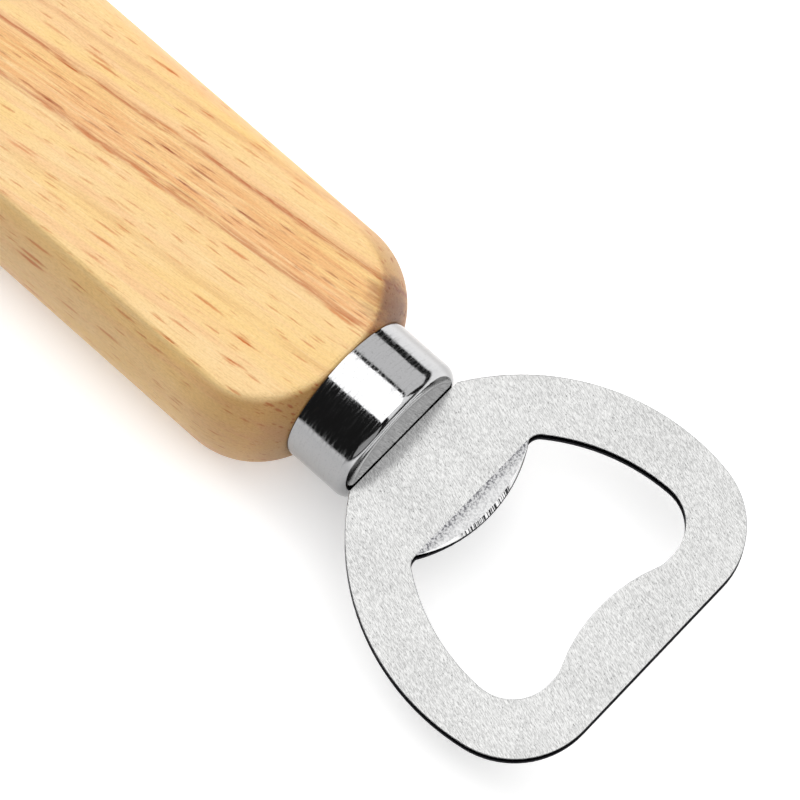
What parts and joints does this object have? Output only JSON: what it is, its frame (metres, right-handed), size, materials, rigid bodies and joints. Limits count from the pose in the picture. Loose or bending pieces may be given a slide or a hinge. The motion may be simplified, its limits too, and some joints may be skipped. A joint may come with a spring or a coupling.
{
  "type": "hand bottle opener",
  "caption": "Wooden-handled bottle opener: flat stamped steel head with a cap mouth and hooking lip, held in a polished ferrule on a flat-sided turned handle.",
  "frame": {"origin": "middle of the bounding box in plan, at the height of the handle's lower flat, on which the opener rests", "axes": "+X runs along the handle from its butt to the head, +Z is square to the head's plate, and +Y completes a right-handed frame"},
  "size_m": [0.143, 0.042, 0.0186],
  "materials": {
    "wood": "pale yellow-orange open-pored hardwood, sanded smooth, with a thin clear satin finish",
    "polished_steel": "mirror-polished drawn steel",
    "satin_steel": "satin faces with fine cross-brushed lines; darker sheared edges",
    "cured_adhesive": "cured translucent amber resin, hidden inside the handle"
  },
  "bodies": {
    "root": {"handle": "wood", "ferrule": "polished_steel", "opener_head": "satin_steel", "tang_adhesive": "cured_adhesive"}
  },
  "joints": []
}
